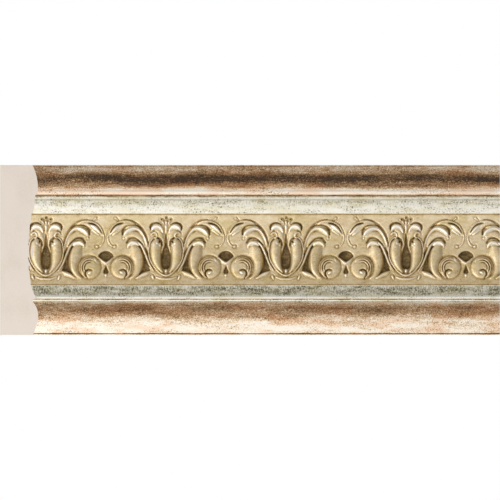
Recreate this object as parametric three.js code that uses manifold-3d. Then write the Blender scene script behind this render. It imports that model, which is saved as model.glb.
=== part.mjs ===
// A length of dressed moulding with a carved frieze of tulips and leaf scrolls between two rolls.
// Millimetres. X runs along the moulding, Z is up and the front faces -Y. The flat back lies in the
// plane Y = 0, and the origin is the middle of the back.

import * as THREE from 'three';
import { mergeVertices } from 'three/addons/utils/BufferGeometryUtils.js';
import Module from 'manifold-3d';

// Driving dimensions
const LENGTH = 250;
const MITRE_DEGREES = 45;
const EDGE_DEPTH = 16.2;
const REPEAT = 60;
const FIRST_TULIP = 23;
const LEAF_CREST = 1.2;
const STEM_CREST = 0.95;
const VOLUTE_CREST = 1;
const RIDGE_CREST = 1.5;
const PIT_DEPTH = 3;
const PIT_TAPER = 0.8;
const LEAF_ROOT = 0.25;

// The members of the section from the top edge down. Each has its height, how far its lower end stands
// out from its upper end, and its bulge out of the straight line between them, which is below zero
// where it is hollow.
const UPPER_ROLL = { height: 12.5, out: 2.7, bulge: 0.85, steps: 6 };
const UPPER_NOSE = { height: 2.3, out: -0.5, bulge: 0.3, steps: 4 };
const UPPER_QUIRK = { height: 0.4, out: -0.8, bulge: 0, steps: 1 };
const UPPER_FILLET = { height: 0.5, out: 0.2, bulge: 0, steps: 1 };
const UPPER_SLOPE = { height: 1.4, out: -1.15, bulge: 0, steps: 1 };
const SILVER_LIP = { height: 0.7, out: 0.75, bulge: 0.1, steps: 2 };
const SILVER_BAND = { height: 6.45, out: -1.2, bulge: 0.25, steps: 4 };
const FRIEZE_LINE = { height: 0.25, out: -0.55, bulge: 0, steps: 1 };
const FRIEZE_BORDER = { height: 0.5, out: 0.2, bulge: 0, steps: 1 };
const FRIEZE = { height: 34.5, out: -0.35, bulge: -1.45, steps: 4 };
const LOWER_LINE = { height: 0.25, out: -0.3, bulge: 0, steps: 1 };
const LOWER_LIP = { height: 0.35, out: 0.5, bulge: 0, steps: 1 };
const LOWER_BAND = { height: 5.3, out: 1.8, bulge: -0.25, steps: 3 };
const BEAD = { height: 1.6, out: -0.35, bulge: 0.45, steps: 4 };
const LOWER_QUIRK = { height: 0.35, out: -0.65, bulge: 0, steps: 1 };
const LOWER_FILLET = { height: 0.65, out: 0, bulge: 0, steps: 1 };
const LOWER_STEP = { height: 0.3, out: -0.2, bulge: 0, steps: 1 };
const LOWER_ROLL = { height: 8.45, out: 2.7, bulge: 1, steps: 7 };
const LOWER_SWEEP = { height: 8.25, out: -2.5, bulge: 0.25, steps: 4 };

const MEMBERS = [
  UPPER_ROLL, UPPER_NOSE, UPPER_QUIRK, UPPER_FILLET, UPPER_SLOPE, SILVER_LIP, SILVER_BAND,
  FRIEZE_LINE, FRIEZE_BORDER, FRIEZE, LOWER_LINE, LOWER_LIP, LOWER_BAND, BEAD, LOWER_QUIRK,
  LOWER_FILLET, LOWER_STEP, LOWER_ROLL, LOWER_SWEEP,
];

const sum = (values) => values.reduce((total, value) => total + value, 0);
const HEIGHT = sum(MEMBERS.map((member) => member.height));

// The depth and height of a member's lower end.
function endOf(member) {
  const above = MEMBERS.slice(0, MEMBERS.indexOf(member) + 1);
  return {
    depth: EDGE_DEPTH + sum(above.map((each) => each.out)),
    z: HEIGHT / 2 - sum(above.map((each) => each.height)),
  };
}

// The carver's lattice: half a repeat is 60 units across from a tulip's middle line, and the frieze is
// 69 units up from its lower edge. The leaves are drawn on it, so they follow both sizes.
const LATTICE = { across: 60, up: 69 };
const HALF = REPEAT / 2;
const FRIEZE_TOP = endOf(FRIEZE_BORDER);
const UNIT = HALF / LATTICE.across;
const up = (v) => FRIEZE_TOP.z - FRIEZE.height * (1 - v / LATTICE.up);

// How far the frieze's hollow ground stands from the back at a height.
function groundDepth(z) {
  const t = (FRIEZE_TOP.z - z) / FRIEZE.height;
  return FRIEZE_TOP.depth + FRIEZE.out * t + FRIEZE.bulge * 4 * t * (1 - t);
}

// Leaves and stems that stand on both sides of a tulip's middle line, as [across, up, half width] on
// the lattice along the middle of each.
const PAIRED_LEAVES = {
  petal: {
    crest: LEAF_CREST, steps: 6,
    spine: [[4.2, 37, 1], [3.3, 42, 1.8], [4.6, 46.5, 3.2], [5.3, 51, 3.8], [7.8, 55.3, 3.2],
      [11.5, 57.2, 2.5], [14.6, 54.8, 1]],
  },
  lobe: {
    crest: LEAF_CREST, steps: 6,
    spine: [[9.6, 44, 1.4], [10.5, 39, 4.4], [11, 32, 5.5], [10.5, 25, 4.6], [8.4, 18.5, 3.4],
      [3.5, 11.2, 1.2]],
  },
  sepal: {
    crest: STEM_CREST, steps: 10,
    spine: [[14, 48.6, 0.7], [12.8, 50.6, 0.8], [10.4, 50.6, 0.9], [9.4, 48.2, 0.9], [11.8, 44.8, 0.9],
      [15.3, 41, 0.9], [17.6, 35.5, 1], [17.4, 29.5, 1.1], [15.6, 22.8, 1.1], [11.6, 16.2, 1.1],
      [6, 10.4, 1.1], [-0.8, 7.4, 1.1]],
  },
  outerLeaf: {
    crest: LEAF_CREST, steps: 8,
    spine: [[18.2, 32, 0.8], [20.2, 41, 1.2], [23.3, 48.8, 1.7], [28.8, 55.1, 2.1], [36, 58.8, 3.1],
      [44, 57.5, 3.7], [50.3, 53.5, 3.4], [55.2, 50, 2.2], [58.4, 47.2, 0.7]],
  },
  middleLeaf: {
    crest: LEAF_CREST, steps: 7,
    spine: [[21.2, 35.5, 0.9], [24.6, 43, 2.2], [29.6, 48.8, 3.3], [35.5, 51, 3.5], [40.6, 49, 2.9],
      [44, 45, 1.7], [45.2, 42, 0.7]],
  },
  innerLeaf: {
    crest: LEAF_CREST, steps: 8,
    spine: [[38.4, 36.6, 1.2], [35, 39.6, 3], [30, 37.4, 4.2], [26.2, 30.5, 4.8], [24.4, 22, 4.2],
      [25.6, 14, 3.5], [30, 7.6, 1.8], [34.5, 5.4, 0.8]],
  },
  tendril: {
    crest: STEM_CREST, steps: 4,
    spine: [[58.4, 47.6, 0.6], [58.6, 43.5, 0.7], [57.4, 40.2, 0.7], [55, 38.2, 0.7], [52, 37.2, 0.8]],
  },
  topBud: { crest: STEM_CREST, steps: 1, spine: [[44, 61.6, 0.7], [46.4, 64.2, 0.8], [48.6, 66.4, 1.1]] },
  rootLeaf: {
    crest: LEAF_CREST, steps: 3,
    spine: [[12.8, 4.6, 0.8], [15.4, 8.8, 2.5], [17.2, 12.2, 1.8], [18.6, 15, 0.5]],
  },
  rootTail: { crest: STEM_CREST, steps: 2, spine: [[17, 9.6, 1.5], [21, 6.6, 1.1], [25.4, 4.8, 0.6]] },
};

// Leaves that lie across a tulip's middle line.
const MIDDLE_LEAVES = {
  crestStem: { crest: STEM_CREST, steps: 2, spine: [[0, 47, 0.7], [0, 53, 1.1], [0, 60, 1.2]] },
  cup: {
    crest: STEM_CREST, steps: 4,
    spine: [[-12, 9.4, 0.7], [-6, 6.4, 1], [0, 5.7, 1.1], [6, 6.4, 1], [12, 9.4, 0.7]],
  },
};

// Round buds, as [across, up, radius]: beside the middle line, and on it.
const PAIRED_BUDS = [[4.3, 62.2, 1.5], [51.4, 37, 1.6]];
const MIDDLE_BUDS = [[0, 63.6, 1.7], [0, 12.6, 1.6]];

// The scroll ends in a round boss, with its eye below the middle and a ridge that winds in round it.
const VOLUTE = { across: 43, up: 16, radius: 11 };
const VOLUTE_EYE = { fall: 4.2, radius: 3.4 };
const VOLUTE_RIDGE = { fromDegrees: 50, toDegrees: 240, outer: 8.6, inner: 6, halfWidth: 3 };

// Pits as outlines of [across, up]. The two on a middle line give one half, and the other half mirrors it.
const THROAT_HALF = [[0, 38], [3, 34], [4.6, 29], [4.5, 22], [2.9, 16.5], [0, 14.2]];
const ARCH_HALF = [[0, 32.8], [4.6, 31.6], [7.8, 27.4], [5, 23.4], [0, 20.4]];
const WEDGE = [[17.9, 29], [19.6, 24], [19.9, 18], [17.6, 15.2], [13.4, 11.8], [14.2, 16.6], [16.4, 22]];
const PIT_STEPS = 10;

// Joining and cutting
const wasm = await Module();
wasm.setup();

// A closed geometry as a solid.
function solidOf(geometry) {
  const bare = geometry.clone();
  bare.deleteAttribute('normal');
  bare.deleteAttribute('uv');
  const merged = mergeVertices(bare, 1e-4);
  return new wasm.Manifold(new wasm.Mesh({
    numProp: 3,
    vertProperties: merged.attributes.position.array,
    triVerts: new Uint32Array(merged.index.array),
  }));
}

// A solid as a geometry with flat faces.
function geometryOf(solid) {
  const mesh = solid.getMesh();
  const geometry = new THREE.BufferGeometry();
  geometry.setAttribute('position', new THREE.BufferAttribute(mesh.vertProperties, 3));
  geometry.setIndex(new THREE.BufferAttribute(mesh.triVerts, 1));
  const flat = geometry.toNonIndexed();
  flat.computeVertexNormals();
  return flat;
}

// A closed solid through rings of equally many points. The rings may run either way round: the faces
// are turned so that they point out.
function loft(rings) {
  const around = rings[0].length;
  const faces = [];
  for (let ring = 0; ring < rings.length - 1; ring++) {
    for (let i = 0; i < around; i++) {
      const a = ring * around + i;
      const b = ring * around + ((i + 1) % around);
      faces.push([a, b, b + around], [a, b + around, a + around]);
    }
  }
  const last = (rings.length - 1) * around;
  const flat = rings[0].map((p) => new THREE.Vector2(p.flatX, p.flatY));
  const runsBack = THREE.ShapeUtils.isClockWise(flat);
  for (const [a, b, c] of THREE.ShapeUtils.triangulateShape(flat, [])) {
    const cap = runsBack ? [a, c, b] : [a, b, c];
    faces.push(cap.toReversed(), cap.map((i) => last + i));
  }
  const points = rings.flat().map((p) => new THREE.Vector3(p.x, p.y, p.z));
  const volume = sum(faces.map(([a, b, c]) => points[a].dot(points[b].clone().cross(points[c]))));
  const geometry = new THREE.BufferGeometry().setFromPoints(points);
  geometry.setIndex(faces.flatMap((face) => (volume < 0 ? face.toReversed() : face)));
  return solidOf(geometry);
}

// A point of the frieze: lattice place, lift above the ground, and its place in its own flat ring.
function friezePoint(axis, side, u, v, lift, flatX, flatY) {
  const z = up(v);
  return { x: axis + side * u * UNIT, y: -(groundDepth(z) + lift), z, flatX, flatY };
}

// A leaf's section across its spine, as shares of its half width with their lift above the ground. A
// broad leaf has shoulders beside its crest, and a narrow one has a single keel. Both meet the ground at
// the full half width and carry on down to their roots.
const SHOULDER = { from: 4.4, offset: 0.68, lift: 0.75 };
const NARROW_SHARE = 0.55;

function leafSection(high, widest) {
  const broad = widest > SHOULDER.from;
  const [offset, lift] = broad ? [SHOULDER.offset, SHOULDER.lift * high] : [0, high];
  const foot = 1 + (LEAF_ROOT * (1 - offset)) / lift;
  const half = broad ? [[offset, lift], [foot, -LEAF_ROOT]] : [[foot, -LEAF_ROOT]];
  return [...half.toReversed().map(([across, rise]) => [-across, rise]), [0, high], ...half];
}

// A leaf: a crowned strip along its spine, as wide and as high as the spine says at each place.
function leafSolid({ spine, crest, steps }, axis, side) {
  const curve = new THREE.CatmullRomCurve3(spine.map((p) => new THREE.Vector3(...p)));
  const stations = curve.getSpacedPoints(steps);
  const widest = Math.max(...spine.map((p) => p[2]));
  const rings = stations.map((p, i) => {
    const before = stations[Math.max(i - 1, 0)];
    const after = stations[Math.min(i + 1, steps)];
    const along = new THREE.Vector2(after.x - before.x, after.y - before.y).normalize();
    const high = crest * (NARROW_SHARE + (1 - NARROW_SHARE) * p.z / widest);
    return leafSection(high, widest).map(([offset, lift]) => {
      const u = p.x + along.y * offset * p.z;
      const v = p.y - along.x * offset * p.z;
      return friezePoint(axis, side, u, v, lift, offset, lift);
    });
  });
  return loft(rings);
}

// A round boss: a low dome with a flat top, which is a share of its width.
const BUD = { sides: 6, top: 0.45 };
const DISC = { sides: 10, top: 0.8 };

function bossSolid([u, v, radius], { sides, top }, crest, axis, side) {
  const foot = 1 + (LEAF_ROOT * (1 - top)) / crest;
  const ring = (share, lift) => Array.from({ length: sides }, (_, i) => {
    const turn = (2 * Math.PI * i) / sides;
    const [c, s] = [Math.cos(turn), Math.sin(turn)];
    return friezePoint(axis, side, u + c * share * radius, v + s * share * radius, lift, c, s);
  });
  return loft([ring(foot, -LEAF_ROOT), ring(top, crest)]);
}

// The ridge on the volute's boss winds in as it turns about the boss's middle.
const RIDGE_STEPS = 4;

function voluteRidge({ fromDegrees, toDegrees, outer, inner, halfWidth }) {
  const spine = Array.from({ length: RIDGE_STEPS + 1 }, (_, i) => {
    const share = i / RIDGE_STEPS;
    const turn = THREE.MathUtils.degToRad(THREE.MathUtils.lerp(fromDegrees, toDegrees, share));
    const reach = THREE.MathUtils.lerp(outer, inner, share);
    return [VOLUTE.across + Math.cos(turn) * reach, VOLUTE.up + Math.sin(turn) * reach, halfWidth];
  });
  return { crest: RIDGE_CREST, steps: RIDGE_STEPS, spine };
}

// A pit: a cut with leaning walls from above the carving down to the pit's floor.
function pitSolid(outline, axis, side) {
  const curve = new THREE.CatmullRomCurve3(outline.map(([u, v]) => new THREE.Vector3(u, v, 0)), true);
  const points = curve.getSpacedPoints(PIT_STEPS).slice(0, PIT_STEPS);
  const middle = points.reduce((total, p) => total.add(p), new THREE.Vector3()).divideScalar(PIT_STEPS);
  const levels = [[PIT_TAPER, -PIT_DEPTH], [1, 0], [1, 2 * LEAF_CREST]];
  const rings = levels.map(([share, lift]) => points.map((p) => {
    const u = middle.x + (p.x - middle.x) * share;
    const v = middle.y + (p.y - middle.y) * share;
    return friezePoint(axis, side, u, v, lift, p.x, p.y);
  }));
  return loft(rings);
}

const mirrorHalf = (half) => [...half, ...half.slice(1, -1).reverse().map(([u, v]) => [-u, v])];

// The section's outline as a shape: across it is the depth, taken below zero, and up it is the height.
function sectionShape() {
  const points = [[0, HEIGHT / 2], [EDGE_DEPTH, HEIGHT / 2]];
  let [depth, z] = points[1];
  for (const { height, out, bulge, steps } of MEMBERS) {
    const reach = Math.hypot(height, out);
    for (let i = 1; i <= steps; i++) {
      const t = i / steps;
      const swell = bulge * 4 * t * (1 - t);
      points.push([depth + out * t + (swell * height) / reach, z - height * t + (swell * out) / reach]);
    }
    depth += out;
    z -= height;
  }
  points.push([0, -HEIGHT / 2]);
  return new THREE.Shape(points.map(([d, h]) => new THREE.Vector2(-d, h)));
}

// The plain run of the section, longer than the part at both ends, before the ends are cut.
const END_WASTE = 10;

function plainRun() {
  const reach = LENGTH + 2 * END_WASTE;
  const run = new THREE.ExtrudeGeometry(sectionShape(), { depth: reach, bevelEnabled: false });
  const lay = new THREE.Matrix4().makeBasis(
    new THREE.Vector3(0, 1, 0), new THREE.Vector3(0, 0, 1), new THREE.Vector3(1, 0, 0),
  );
  run.applyMatrix4(lay).translate(-LENGTH / 2 - END_WASTE, 0, 0);
  return solidOf(run);
}

// The block that a square or mitred cut takes off one end. The mitre leans in towards the front.
function endCut(side, degrees) {
  const front = 2 * (EDGE_DEPTH + UPPER_ROLL.out + LOWER_ROLL.out);
  const lean = Math.tan(THREE.MathUtils.degToRad(degrees));
  const beyond = LENGTH / 2 + front + 2 * END_WASTE;
  const corner = (y) => LENGTH / 2 + y * lean;
  const plan = [[corner(1), 1], [beyond, 1], [beyond, -front], [corner(-front), -front]];
  const shape = new THREE.Shape(plan.map(([x, y]) => new THREE.Vector2(side * x, y)));
  const block = new THREE.ExtrudeGeometry(shape, { depth: 2 * HEIGHT, bevelEnabled: false });
  return solidOf(block.translate(0, 0, -HEIGHT));
}

// All carving of one tulip and the half repeats on both sides of it.
function carvingAt(axis) {
  const raised = Object.values(MIDDLE_LEAVES).map((leaf) => leafSolid(leaf, axis, 1));
  raised.push(...MIDDLE_BUDS.map((bud) => bossSolid(bud, BUD, STEM_CREST, axis, 1)));
  const pits = [pitSolid(mirrorHalf(THROAT_HALF), axis, 1), pitSolid(mirrorHalf(ARCH_HALF), axis + HALF, 1)];
  for (const side of [-1, 1]) {
    raised.push(...Object.values(PAIRED_LEAVES).map((leaf) => leafSolid(leaf, axis, side)));
    raised.push(...PAIRED_BUDS.map((bud) => bossSolid(bud, BUD, STEM_CREST, axis, side)));
    raised.push(bossSolid([VOLUTE.across, VOLUTE.up, VOLUTE.radius], DISC, VOLUTE_CREST, axis, side));
    const eye = [VOLUTE.across, VOLUTE.up - VOLUTE_EYE.fall, VOLUTE_EYE.radius];
    raised.push(bossSolid(eye, BUD, RIDGE_CREST, axis, side));
    raised.push(leafSolid(voluteRidge(VOLUTE_RIDGE), axis, side));
    pits.push(pitSolid(WEDGE, axis, side));
  }
  return { raised, pits };
}

// The tulips stand one repeat apart along the run, the first at its own distance from the mitred end.
const tulips = [];
for (let x = FIRST_TULIP - LENGTH / 2 - REPEAT; x < LENGTH / 2 + REPEAT; x += REPEAT) {
  if (x > -LENGTH / 2 - HALF && x < LENGTH / 2 + HALF) tulips.push(x);
}

const carving = tulips.map(carvingAt);
const solid = carving.flatMap((each) => each.raised).reduce((body, leaf) => body.add(leaf), plainRun());
const pitted = carving.flatMap((each) => each.pits).reduce((body, pit) => body.subtract(pit), solid);
const finished = pitted.subtract(endCut(-1, MITRE_DEGREES)).subtract(endCut(1, 0));

const gilding = new THREE.MeshStandardMaterial({ color: 0xc9b083, roughness: 0.45, metalness: 0.6 });
const moulding = new THREE.Mesh(geometryOf(finished), gilding);
moulding.name = 'moulding';

const part = new THREE.Group();
part.add(moulding);

export default part;
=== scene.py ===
"""A length of gilded moulding with a carved frieze of tulips and leaf scrolls between two rolls.

Half of the carving's repeat is carved as a height map, turned into a tile of the whole section, and
run along the moulding by a node tree. The ends are then cut at the ends of the part in model.glb, the
left one mitred.
"""

import logging
import math
from dataclasses import dataclass, field
from enum import Enum

import bmesh
import bpy
import numpy as np
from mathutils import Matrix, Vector


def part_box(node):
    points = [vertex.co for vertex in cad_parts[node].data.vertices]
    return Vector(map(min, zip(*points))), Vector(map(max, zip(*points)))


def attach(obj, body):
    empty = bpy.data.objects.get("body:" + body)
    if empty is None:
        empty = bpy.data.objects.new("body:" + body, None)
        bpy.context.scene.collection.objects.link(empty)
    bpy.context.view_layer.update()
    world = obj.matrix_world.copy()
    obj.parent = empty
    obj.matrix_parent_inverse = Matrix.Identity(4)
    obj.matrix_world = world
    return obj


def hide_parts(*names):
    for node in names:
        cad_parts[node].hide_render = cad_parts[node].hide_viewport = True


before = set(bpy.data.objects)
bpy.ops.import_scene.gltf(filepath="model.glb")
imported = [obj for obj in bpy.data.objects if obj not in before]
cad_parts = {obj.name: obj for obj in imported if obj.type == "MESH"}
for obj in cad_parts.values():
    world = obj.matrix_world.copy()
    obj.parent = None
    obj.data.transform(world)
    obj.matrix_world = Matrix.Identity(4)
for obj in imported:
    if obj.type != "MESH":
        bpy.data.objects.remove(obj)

log = logging.getLogger("moulding")
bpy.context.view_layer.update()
NODE = "moulding"
MM = 0.001
CORE_FACES = -1
END_FACES = -2
CORE_TONE = 0.5
TINY = 1e-9
Colour = tuple[float, float, float, float]
Point = tuple[float, ...]
Tones = tuple[tuple[float, float], ...]


def paint(hexes: str) -> Colour:
    """A colour written as six hex digits, as the linear colour that a shader takes."""
    shares = [int(hexes[i:i + 2], 16) / 255 for i in (0, 2, 4)]
    linear = [s / 12.92 if s <= 0.04045 else ((s + 0.055) / 1.055) ** 2.4 for s in shares]
    return (*linear, 1.0)


class Leaf(Enum):
    """What covers a face: a metal leaf or the bare core. The value is its material slot."""

    BRONZE = 0
    SILVER = 1
    GOLD = 2
    CORE = 3


@dataclass(frozen=True)
class Member:
    """One member of the section, from its upper end down.

    The tones say how dark its colour is painted, from 0 for bare leaf to 1 for the darkest, at shares of
    the way down it; below 0 is lighter than bare leaf. They are partly glazing and partly painted light:
    painted shade in dark bands and quirks, and painted highlights where they go down to or below 0.
    """

    height: float
    out: float
    leaf: Leaf
    tones: Tones
    bulge: float = 0.0
    steps: int = 1

    def point(self, share: float) -> tuple[float, float]:
        """How far out and how far down the surface is at a share of the way down the member."""
        reach = math.hypot(self.height, self.out)
        swell = self.bulge * 4 * share * (1 - share)
        return (self.out * share + swell * self.height / reach,
                self.height * share - swell * self.out / reach)

    def tone(self, share: float) -> float:
        """How dark the colour is painted at a share of the way down the member: glazing with painted
        shade and highlights.
        """
        return float(np.interp(share, [t[0] for t in self.tones], [t[1] for t in self.tones]))


def even(tone: float) -> Tones:
    """The same tone all the way down a member."""
    return ((0.0, tone), (1.0, tone))


@dataclass
class Row:
    """A line along the moulding: its depth in front of the back, its height, its tone and its member."""

    depth: float
    z: float
    tone: float
    member: int
    leaf: Leaf


@dataclass
class Section:
    """The moulding's section from the top edge down, in millimetres."""

    edge_depth: float = 16.2
    # Each member's tones paint glazing together with painted shade bands, darker quirks and painted
    # highlights.
    upper_roll: Member = Member(12.5, 2.7, Leaf.BRONZE, (
        (0.0, -0.05), (0.033, 0.18), (0.067, 0.4), (0.1, 0.2), (0.16, 0.24), (0.28, 0.34), (0.36, 0.5),
        (0.44, 0.86), (0.54, 1.0), (0.64, 1.0), (0.72, 0.68), (0.84, 0.51), (0.92, 0.28), (1.0, -0.02)),
        0.85, 30)
    upper_nose: Member = Member(2.3, -0.5, Leaf.BRONZE, (
        (0.0, -0.05), (0.43, -0.05), (0.8, -0.05), (1.0, 0.12)), 0.3, 8)
    upper_quirk: Member = Member(0.4, -0.8, Leaf.BRONZE, even(0.47))
    upper_fillet: Member = Member(0.5, 0.2, Leaf.BRONZE, even(0.46), 0.0, 2)
    upper_slope: Member = Member(1.4, -1.15, Leaf.SILVER, (
        (0.25, 0.26), (0.5, 0.02), (1.0, -0.1)), 0.0, 4)
    silver_lip: Member = Member(0.7, 0.75, Leaf.SILVER, ((0.0, 0.0), (1.0, 0.1)), 0.1, 4)
    silver_band: Member = Member(6.45, -1.2, Leaf.SILVER, (
        (0.0, 0.29), (0.2, 0.14), (0.4, 0.04), (0.85, 0.03), (0.96, 0.05), (1.0, 0.02)), 0.25, 12)
    frieze_line: Member = Member(0.25, -0.55, Leaf.GOLD, even(0.62))
    frieze_border: Member = Member(0.5, 0.2, Leaf.GOLD, ((0.0, 0.5), (1.0, 0.32)), 0.0, 2)
    frieze: Member = Member(34.5, -0.35, Leaf.GOLD, ((0.0, 0.36), (0.03, 0.27), (1.0, 0.35)), -1.45, 111)
    lower_line: Member = Member(0.25, -0.3, Leaf.GOLD, even(0.55))
    lower_lip: Member = Member(0.35, 0.5, Leaf.GOLD, even(0.1), 0.0, 2)
    lower_band: Member = Member(5.3, 1.8, Leaf.SILVER, (
        (0.0, 0.2), (0.1, 0.32), (0.4, 0.43), (0.85, 0.36), (1.0, 0.06)), -0.25, 10)
    bead: Member = Member(1.6, -0.35, Leaf.SILVER, (
        (0.0, -0.05), (0.3, 0.0), (0.8, 0.0), (1.0, 0.1)), 0.45, 8)
    lower_quirk: Member = Member(0.35, -0.65, Leaf.SILVER, even(0.72))
    lower_fillet: Member = Member(0.65, -0.2, Leaf.SILVER, even(-0.08), 0.0, 2)
    lower_step: Member = Member(0.3, 0.0, Leaf.SILVER, even(0.45))
    lower_roll: Member = Member(8.45, 2.7, Leaf.BRONZE, (
        (0.0, -0.2), (0.06, 0.04), (0.11, 0.2), (0.17, 0.32), (0.3, 0.42), (0.4, 0.52), (0.5, 0.52),
        (0.68, 0.38), (0.85, 0.3), (1.0, 0.22)), 1.0, 26)
    lower_sweep: Member = Member(8.25, -2.5, Leaf.BRONZE, (
        (0.0, 0.22), (0.15, 0.12), (0.4, 0.03), (0.87, 0.0), (0.9, 0.95), (0.94, 0.95), (0.96, 0.0)),
        0.25, 32)
    members: list[Member] = field(init=False)

    def __post_init__(self) -> None:
        """Lists the members from the top down."""
        self.members = [v for v in vars(self).values() if isinstance(v, Member)]

    @property
    def height(self) -> float:
        """The height of the whole section."""
        return sum(m.height for m in self.members)

    def top_of(self, member: Member) -> tuple[float, float]:
        """The depth and height of a member's upper end."""
        above = self.members[:self.members.index(member)]
        return (self.edge_depth + sum(m.out for m in above),
                self.height / 2 - sum(m.height for m in above))

    def ground_depth(self, z: np.ndarray) -> np.ndarray:
        """How far the frieze's hollow ground stands in front of the back at some heights."""
        depth, top = self.top_of(self.frieze)
        t = (top - z) / self.frieze.height
        return depth + self.frieze.out * t + self.frieze.bulge * 4 * t * (1 - t)

    def rows(self) -> list[Row]:
        """The section's lines in order: the back's top edge, the front down, the back's foot."""
        half = self.height / 2
        rows = [Row(depth, half, CORE_TONE, CORE_FACES, Leaf.CORE) for depth in (0.0, self.edge_depth)]
        for place, member in enumerate(self.members):
            depth, z = self.top_of(member)
            for step in range(1, member.steps + 1):
                share = step / member.steps
                out, down = member.point(share)
                rows.append(Row(depth + out, z - down, member.tone(share), place, member.leaf))
        rows.append(Row(0.0, -half, CORE_TONE, CORE_FACES, Leaf.CORE))
        rows[1].tone = self.upper_roll.tone(0.0)
        return rows


@dataclass(frozen=True)
class Stroke:
    """A raised strip of carving along a spine.

    The spine is [across, up, half width] on the lattice. The crest stands to the left of the middle by a
    share of the half width. The halo is the depth of the shadow line round the strip. Its top can be
    painted lighter, a painted highlight, by a share from 0 to 1. An edge of 0.5 stands steeply, and one
    of 1 runs out softly.
    """

    spine: tuple[Point, ...]
    high: float
    crest: float
    halo: float
    reach: float = 1.2
    power: float = 2.0
    edge: float = 0.5
    rub: float = 0.0


@dataclass(frozen=True)
class Groove:
    """A hollow strip of carving along a spine of [across, up, half width], with a tone laid in it that
    is partly glazing and partly painted shade.
    """

    spine: tuple[Point, ...]
    deep: float
    glaze: float


@dataclass(frozen=True)
class Pit:
    """A sunk pocket of the ground with steep walls, as an outline of [across, up]."""

    outline: tuple[Point, ...]
    deep: float = 3.0
    wall: float = 1.0


@dataclass(frozen=True)
class Volute:
    """The scroll's rounded end, with flutes on the upper side nearer the tulip.

    Its lip and the shadow round it are strongest at near_degrees and fade away from there.
    """

    across: float = 44.0
    up: float = 16.4
    radius: float = 11.0
    high: float = 0.85
    power: float = 4.0
    shadow: float = 0.75
    far_shadow: float = 0.4
    near_degrees: float = 150.0
    reach: float = 0.8
    near_reach: float = 1.8
    lip: float = 0.35
    lip_at: float = 0.92
    lip_width: float = 0.7
    flute: float = 0.42
    pitch: float = 2.3
    inner: float = 4.2
    glaze: float = 0.5
    from_degrees: float = 72.0
    to_degrees: float = 225.0
    fade_degrees: float = 28.0


Cut = Stroke | Groove | Pit | Volute


def smooth(low: float, high: float, x: np.ndarray) -> np.ndarray:
    """A soft step from 0 at low to 1 at high."""
    t = np.clip((x - low) / (high - low), 0, 1)
    return t * t * (3 - 2 * t)


def curve_through(points: tuple[Point, ...], steps: int = 8, closed: bool = False) -> np.ndarray:
    """Runs a smooth curve through some points.

    Args:
        points: The points, with as many columns as wanted.
        steps: Steps between one point and the next.
        closed: Whether the curve runs on from the last point to the first.

    Returns:
        The curve's points, one to a row, with the same columns.
    """
    p = np.array(points, float)
    padded = (np.vstack([p[-1:], p, p[:2]]) if closed
              else np.vstack([2 * p[0] - p[1], p, 2 * p[-1] - p[-2]]))
    t = (np.arange(steps) / steps)[:, None]
    spans = []
    for a, b, c, d in zip(padded, padded[1:], padded[2:], padded[3:], strict=False):
        spans.append(0.5 * (2 * b + (c - a) * t + (2 * a - 5 * b + 4 * c - d) * t ** 2
                            + (3 * b - a - 3 * c + d) * t ** 3))
    return np.vstack(spans if closed else [*spans, p[-1:]])


def blurred(sharp: np.ndarray, radius: float) -> np.ndarray:
    """Smooths a map.

    Args:
        sharp: The map.
        radius: The radius of the bell curve it is smoothed by, in samples.

    Returns:
        The smoothed map.
    """
    reach = int(np.ceil(3 * radius))
    weights = np.exp(-0.5 * (np.arange(-reach, reach + 1) / radius) ** 2)
    weights /= weights.sum()
    padded = np.pad(sharp, reach, mode="reflect")
    rows = sum(w * padded[i:i + sharp.shape[0], :] for i, w in enumerate(weights))
    return sum(w * rows[:, i:i + sharp.shape[1]] for i, w in enumerate(weights))


def beside(u: np.ndarray, v: np.ndarray, a: np.ndarray, b: np.ndarray) -> tuple[np.ndarray, ...]:
    """Finds where samples lie beside a segment.

    Args:
        u: The samples' places across.
        v: Their places up.
        a: The segment's first end.
        b: Its other end.

    Returns:
        The share of the way along to the nearest point, and the offset from it across and up.
    """
    du, dv = b[0] - a[0], b[1] - a[1]
    t = np.clip(((u - a[0]) * du + (v - a[1]) * dv) / max(du * du + dv * dv, TINY), 0, 1)
    return t, u - a[0] - t * du, v - a[1] - t * dv


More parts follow.
